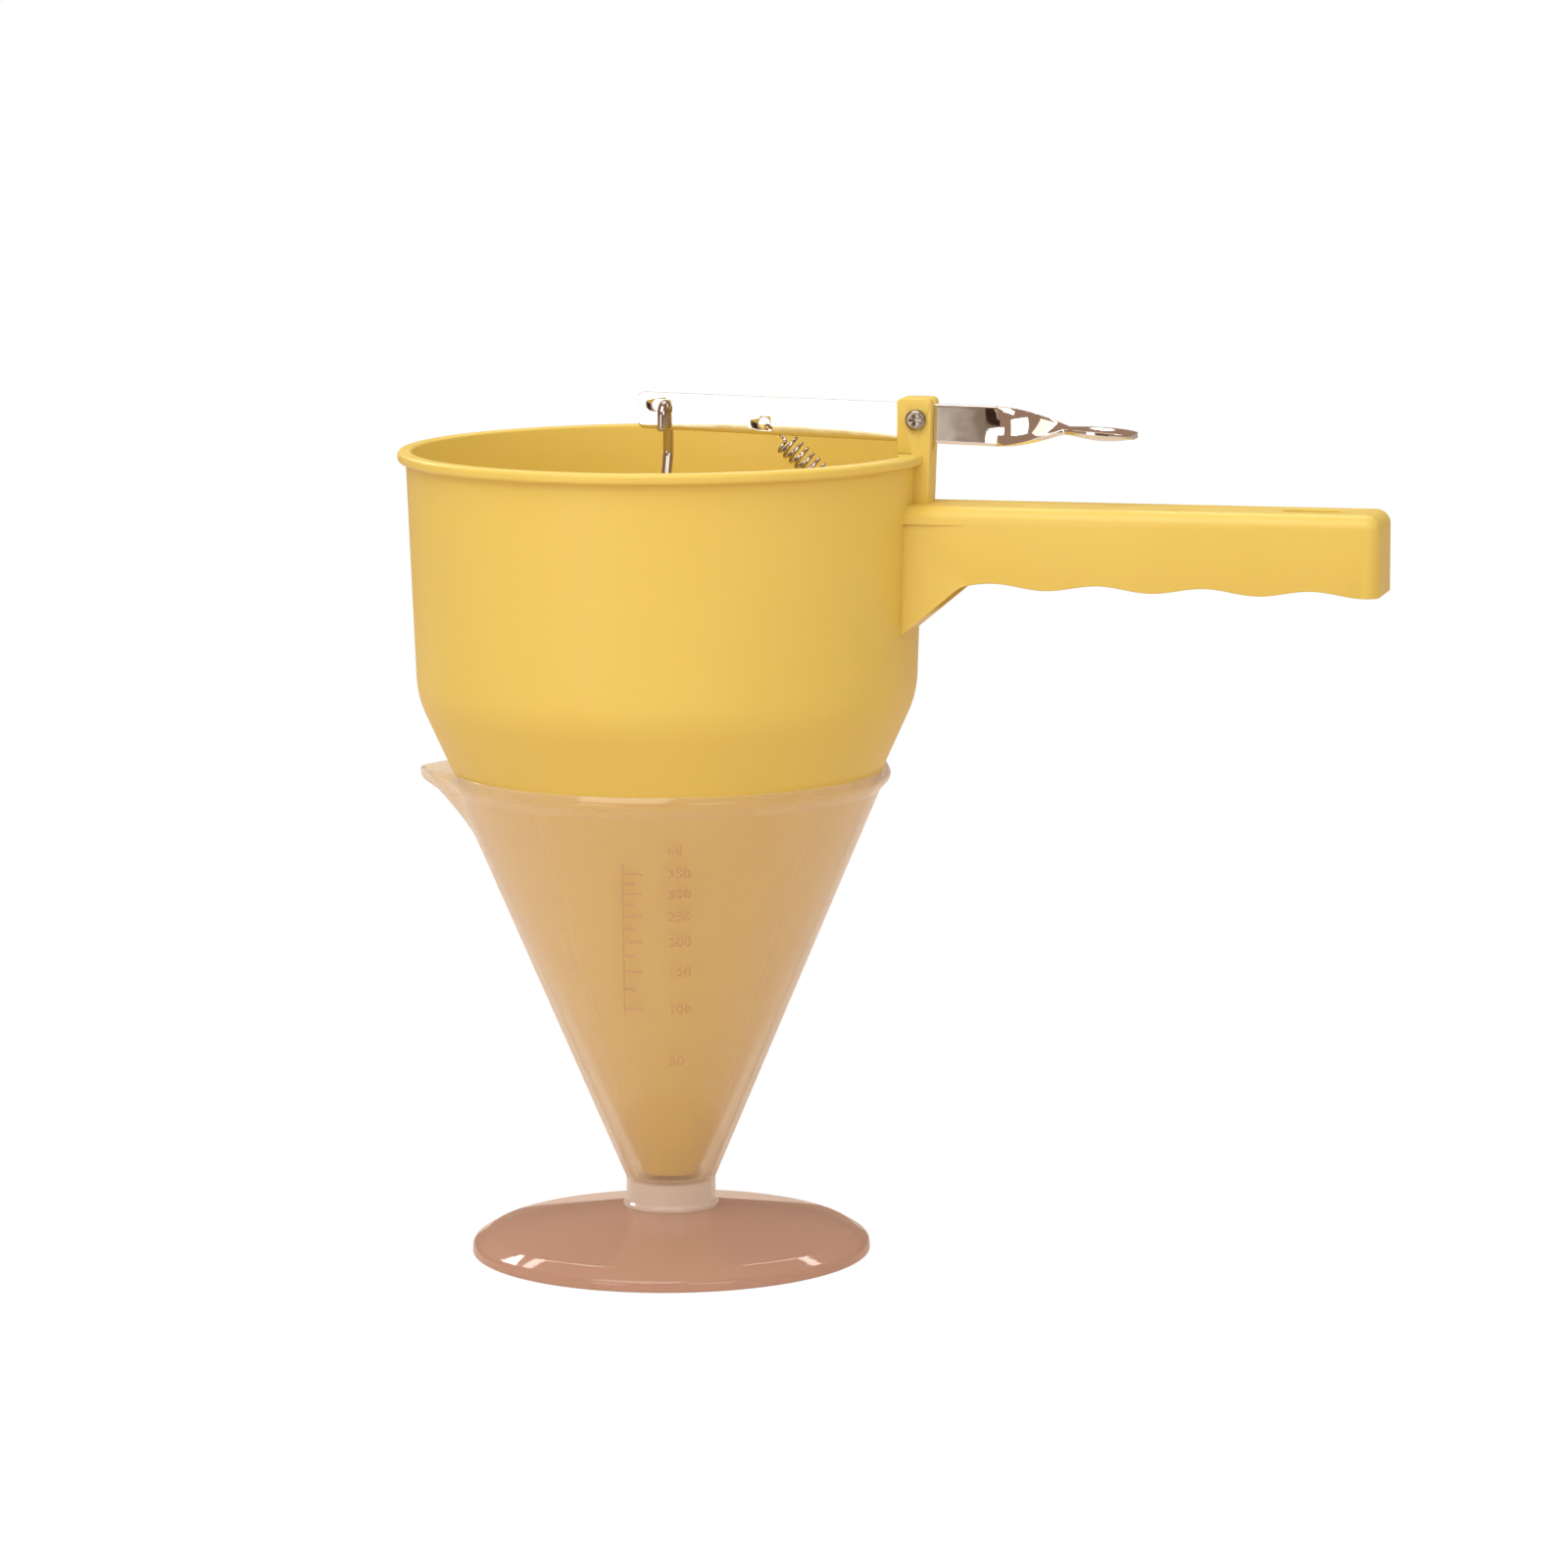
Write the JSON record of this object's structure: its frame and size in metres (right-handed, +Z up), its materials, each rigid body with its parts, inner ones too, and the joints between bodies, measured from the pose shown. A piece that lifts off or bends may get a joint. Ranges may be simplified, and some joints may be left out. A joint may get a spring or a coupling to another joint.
{
  "type": "pancake batter dispenser",
  "caption": "Hand-held funnel dispenser with a lever-worked valve, resting in a translucent measuring cup on a round foot.",
  "frame": {"origin": "centre of the foot's face on the table, on the axis of the cup and the hopper", "axes": "+Z up along the cup's axis, +X along the grip, +Y to the side with the pivot nut"},
  "size_m": [0.2814, 0.1516, 0.2474],
  "materials": {
    "yellow_plastic": "satin moulded polypropylene",
    "bright_steel": "bright plated",
    "polished_steel": "polished stainless",
    "spring_wire": "drawn wire",
    "rod_wire": "drawn stainless wire",
    "white_plastic": "matt moulded",
    "silicone": "soft silicone",
    "clear_plastic": "translucent polypropylene, frosted",
    "foot_plastic": "translucent polypropylene, glossy"
  },
  "bodies": {
    "stand": {"measuring_cup": "clear_plastic", "cup_foot": "foot_plastic"},
    "hopper": {"hopper": "yellow_plastic", "handle": "yellow_plastic", "pivot_screw": "bright_steel", "pivot_nut": "bright_steel", "return_spring": "spring_wire"},
    "lever": {"lever": "polished_steel"},
    "valve": {"valve_rod": "rod_wire", "valve_plug": "white_plastic", "plug_seal": "silicone"}
  },
  "joints": [
    {"name": "hopper_lift", "type": "slide", "parent": "stand", "child": "hopper", "axis": [0, 0, 1], "range_m": [0, 0.15]},
    {"name": "lever_press", "type": "hinge", "parent": "hopper", "child": "lever", "pos_m": [0.074, 0, 0.24132], "axis": [0, 1, 0], "range_deg": [0, 12], "stiffness_Nm_per_rad": 0.6, "springref_deg": -22.92, "deforming": ["return_spring"]},
    {"name": "valve_lift", "type": "slide", "parent": "hopper", "child": "valve", "axis": [0, 0, 1], "range_m": [0, 0.0165]}
  ],
  "couplings": [
    {"joint": "valve_lift", "follows": "lever_press", "m_per_rad": 0.07536}
  ]
}
